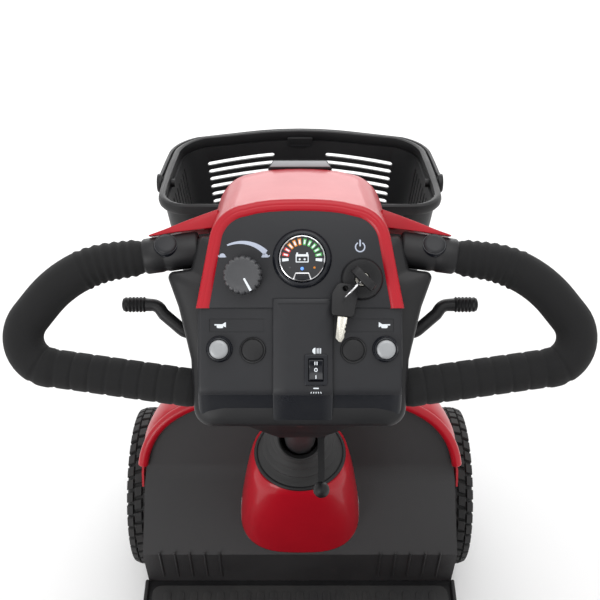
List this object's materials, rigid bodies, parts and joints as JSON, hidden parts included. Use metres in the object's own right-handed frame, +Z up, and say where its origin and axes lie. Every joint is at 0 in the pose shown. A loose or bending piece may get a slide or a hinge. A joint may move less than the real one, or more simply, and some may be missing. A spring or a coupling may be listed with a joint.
{
  "type": "power wheelchair",
  "caption": "Four-wheel scooter-type power chair with a tilting tiller, loop handlebar, control head, carrier basket and swivel seat.",
  "frame": {"origin": "on the floor under the middle of the whole vehicle's box", "axes": "+Y forward in the direction of travel, +X to the rider's right, +Z up"},
  "size_m": [0.5748, 1.184, 0.9543],
  "materials": {
    "frame_paint": "satin black powder coat",
    "black_plastic": "fine grained black moulding",
    "gloss_black": "smooth black fascia",
    "grey_plastic": "textured dark grey moulding",
    "mat_rubber": "ribbed floor rubber",
    "red_paint": "glossy metallic red cover",
    "lamp_clear": "clear lens",
    "lamp_red": "red lens",
    "battery_case": "battery case",
    "cast_aluminium": "cast and machined",
    "motor_paint": "black paint",
    "zinc_steel": "bright zinc",
    "bush_bronze": "oiled bronze",
    "tyre_rubber": "block tread",
    "wheel_silver": "silver paint",
    "bellows_rubber": "soft bellows",
    "foam_grip": "closed-cell foam",
    "dial_grey": "satin grey",
    "chrome_trim": "polished",
    "key_steel": "nickel silver and black grip",
    "button_silver": "silver grey cap",
    "amber_plastic": "amber lever",
    "seat_vinyl": "stitched black vinyl",
    "pad_rubber": "moulded polyurethane"
  },
  "bodies": {
    "chassis": {"main_frame": "frame_paint", "floor_pan": "grey_plastic", "floor_mat": "mat_rubber", "front_shroud": "red_paint", "footwell_panel": "grey_plastic", "bumpers": "black_plastic", "headlight": "lamp_clear", "rear_shroud": "red_paint", "tail_lights": "lamp_red", "battery_packs": "battery_case", "controller": "cast_aluminium", "drive_motor": "motor_paint", "transaxle": "cast_aluminium", "anti_tip_bar": "frame_paint", "stem_bushes": "bush_bronze"},
    "anti_tip_rollers": {"anti_tip_wheels": "pad_rubber"},
    "freewheel": {"freewheel_lever": "amber_plastic"},
    "stem": {"steering_stem": "zinc_steel", "tiller_gaiter": "bellows_rubber"},
    "tie_left": {"tie_rod_left": "zinc_steel"},
    "tie_right": {"tie_rod_right": "zinc_steel"},
    "knuckle_l": {"knuckle_left": "zinc_steel"},
    "knuckle_r": {"knuckle_right": "zinc_steel"},
    "wheel_front_left": {"front_tyre_left": "tyre_rubber", "front_rim_left": "wheel_silver"},
    "wheel_front_right": {"front_tyre_right": "tyre_rubber", "front_rim_right": "wheel_silver"},
    "wheel_rear_left": {"rear_tyre_left": "tyre_rubber", "rear_rim_left": "wheel_silver"},
    "wheel_rear_right": {"rear_tyre_right": "tyre_rubber", "rear_rim_right": "wheel_silver"},
    "tiller": {"tiller_column": "frame_paint", "head_housing": "black_plastic", "head_hood": "red_paint", "control_panel": "gloss_black", "handlebar": "zinc_steel", "grips": "foam_grip", "arm_sleeves": "black_plastic", "battery_gauge": "chrome_trim", "key_switch": "black_plastic", "switch_trim": "black_plastic", "basket_bracket": "black_plastic"},
    "tilt_release": {"tilt_lever": "black_plastic"},
    "drive_paddles": {"drive_lever": "black_plastic"},
    "dial": {"speed_dial": "dial_grey"},
    "key": {"key_set": "key_steel"},
    "horn_left": {"horn_button_left": "button_silver"},
    "horn_right": {"horn_button_right": "button_silver"},
    "rocker": {"light_rocker": "black_plastic"},
    "basket_tub": {"basket": "black_plastic"},
    "basket_bail": {"basket_handle": "black_plastic"},
    "post": {"seat_post": "zinc_steel"},
    "swivel": {"seat_swivel": "frame_paint"},
    "seat_release": {"seat_lever": "black_plastic"},
    "seat": {"seat_frame": "frame_paint", "seat_cushion": "seat_vinyl"},
    "backrest": {"back_frame": "black_plastic", "back_cushion": "seat_vinyl"},
    "arm_left": {"armrest_left": "pad_rubber"},
    "arm_right": {"armrest_right": "pad_rubber"}
  },
  "joints": [
    {"name": "steer", "type": "hinge", "parent": "chassis", "child": "stem", "pos_m": [0, 0.311, 0.2], "axis": [0, 0, 1], "range_deg": [-40, 40]},
    {"name": "tie_rod_left_pivot", "type": "hinge", "parent": "stem", "child": "tie_left", "pos_m": [0, 0.251, 0.085], "axis": [0, 0, 1], "range_deg": [-40, 40]},
    {"name": "tie_rod_right_pivot", "type": "hinge", "parent": "stem", "child": "tie_right", "pos_m": [0, 0.251, 0.073], "axis": [0, 0, 1], "range_deg": [-40, 40]},
    {"name": "kingpin_left", "type": "hinge", "parent": "chassis", "child": "knuckle_l", "pos_m": [-0.16, 0.425, 0.13], "axis": [0, 0, 1], "range_deg": [-40, 40]},
    {"name": "kingpin_right", "type": "hinge", "parent": "chassis", "child": "knuckle_r", "pos_m": [0.16, 0.425, 0.13], "axis": [0, 0, 1], "range_deg": [-40, 40]},
    {"name": "front_left_spin", "type": "hinge", "parent": "knuckle_l", "child": "wheel_front_left", "pos_m": [-0.23, 0.425, 0.13], "axis": [1, 0, 0], "continuous": true},
    {"name": "front_right_spin", "type": "hinge", "parent": "knuckle_r", "child": "wheel_front_right", "pos_m": [0.23, 0.425, 0.13], "axis": [1, 0, 0], "continuous": true},
    {"name": "rear_left_spin", "type": "hinge", "parent": "chassis", "child": "wheel_rear_left", "pos_m": [-0.23, -0.425, 0.13], "axis": [1, 0, 0], "continuous": true},
    {"name": "rear_right_spin", "type": "hinge", "parent": "chassis", "child": "wheel_rear_right", "pos_m": [0.23, -0.425, 0.13], "axis": [1, 0, 0], "continuous": true},
    {"name": "anti_tip_spin", "type": "hinge", "parent": "chassis", "child": "anti_tip_rollers", "pos_m": [0, -0.566, 0.05], "axis": [1, 0, 0], "continuous": true},
    {"name": "freewheel_turn", "type": "hinge", "parent": "chassis", "child": "freewheel", "pos_m": [-0.17, -0.396, 0.222], "axis": [1, 0, 0], "range_deg": [0, 50]},
    {"name": "tiller_tilt", "type": "hinge", "parent": "stem", "child": "tiller", "pos_m": [0, 0.311, 0.4], "axis": [-1, 0, 0], "range_deg": [-6, 14], "deforming": ["tiller_gaiter"]},
    {"name": "tilt_release_pull", "type": "hinge", "parent": "tiller", "child": "tilt_release", "pos_m": [0.026, 0.2429, 0.53365], "axis": [1, 0, 0], "range_deg": [0, 14], "stiffness_Nm_per_rad": 1.5, "springref_deg": -20.05},
    {"name": "drive_paddle_swing", "type": "hinge", "parent": "tiller", "child": "drive_paddles", "pos_m": [0, 0.18997, 0.77483], "axis": [0, 0.7193, 0.6947], "range_deg": [-10, 10], "stiffness_Nm_per_rad": 2},
    {"name": "speed_dial_turn", "type": "hinge", "parent": "tiller", "child": "dial", "pos_m": [-0.053, 0.17223, 0.87309], "axis": [0, -0.6947, 0.7193], "range_deg": [-200, 60]},
    {"name": "key_turn", "type": "hinge", "parent": "tiller", "child": "key", "pos_m": [0.0575, 0.16972, 0.87065], "axis": [0, -0.6947, 0.7193], "range_deg": [-90, 0]},
    {"name": "horn_left_press", "type": "slide", "parent": "tiller", "child": "horn_left", "axis": [0, 0.6947, -0.7193], "range_m": [0, 0.003], "stiffness_N_per_m": 300, "springref_m": -0.002},
    {"name": "horn_right_press", "type": "slide", "parent": "tiller", "child": "horn_right", "axis": [0, 0.6947, -0.7193], "range_m": [0, 0.003], "stiffness_N_per_m": 300, "springref_m": -0.002},
    {"name": "light_rocker_tip", "type": "hinge", "parent": "tiller", "child": "rocker", "pos_m": [0.0147, 0.11276, 0.80871], "axis": [1, 0, 0], "range_deg": [-9, 9]},
    {"name": "basket_lift", "type": "slide", "parent": "tiller", "child": "basket_tub", "axis": [0, 0.2215, 0.9751], "range_m": [0, 0.09]},
    {"name": "basket_bail_swing", "type": "hinge", "parent": "basket_tub", "child": "basket_bail", "pos_m": [0, 0.43685, 0.76897], "axis": [1, 0, 0], "range_deg": [0, 95]},
    {"name": "seat_height", "type": "slide", "parent": "chassis", "child": "post", "axis": [0, 0, 1], "range_m": [0, 0.06]},
    {"name": "seat_turn", "type": "hinge", "parent": "post", "child": "swivel", "pos_m": [0, -0.3, 0.43], "axis": [0, 0, 1], "range_deg": [-90, 90]},
    {"name": "seat_slide", "type": "slide", "parent": "swivel", "child": "seat", "axis": [0, 1, 0], "range_m": [-0.05, 0.05]},
    {"name": "seat_release_pull", "type": "hinge", "parent": "swivel", "child": "seat_release", "pos_m": [0.09, -0.232, 0.415], "axis": [0, 0, 1], "range_deg": [0, 18], "stiffness_Nm_per_rad": 1, "springref_deg": -17.19},
    {"name": "backrest_fold", "type": "hinge", "parent": "seat", "child": "backrest", "pos_m": [0, -0.516, 0.624], "axis": [1, 0, 0], "range_deg": [-90, 0]},
    {"name": "armrest_left_flip", "type": "hinge", "parent": "seat", "child": "arm_left", "pos_m": [-0.256, -0.41, 0.7], "axis": [1, 0, 0], "range_deg": [0, 90]},
    {"name": "armrest_right_flip", "type": "hinge", "parent": "seat", "child": "arm_right", "pos_m": [0.256, -0.41, 0.7], "axis": [1, 0, 0], "range_deg": [0, 90]}
  ],
  "couplings": [
    {"joint": "tie_rod_left_pivot", "follows": "steer", "ratio": -1},
    {"joint": "tie_rod_right_pivot", "follows": "steer", "ratio": -1},
    {"joint": "kingpin_left", "follows": "steer", "ratio": 1},
    {"joint": "kingpin_right", "follows": "steer", "ratio": 1}
  ]
}
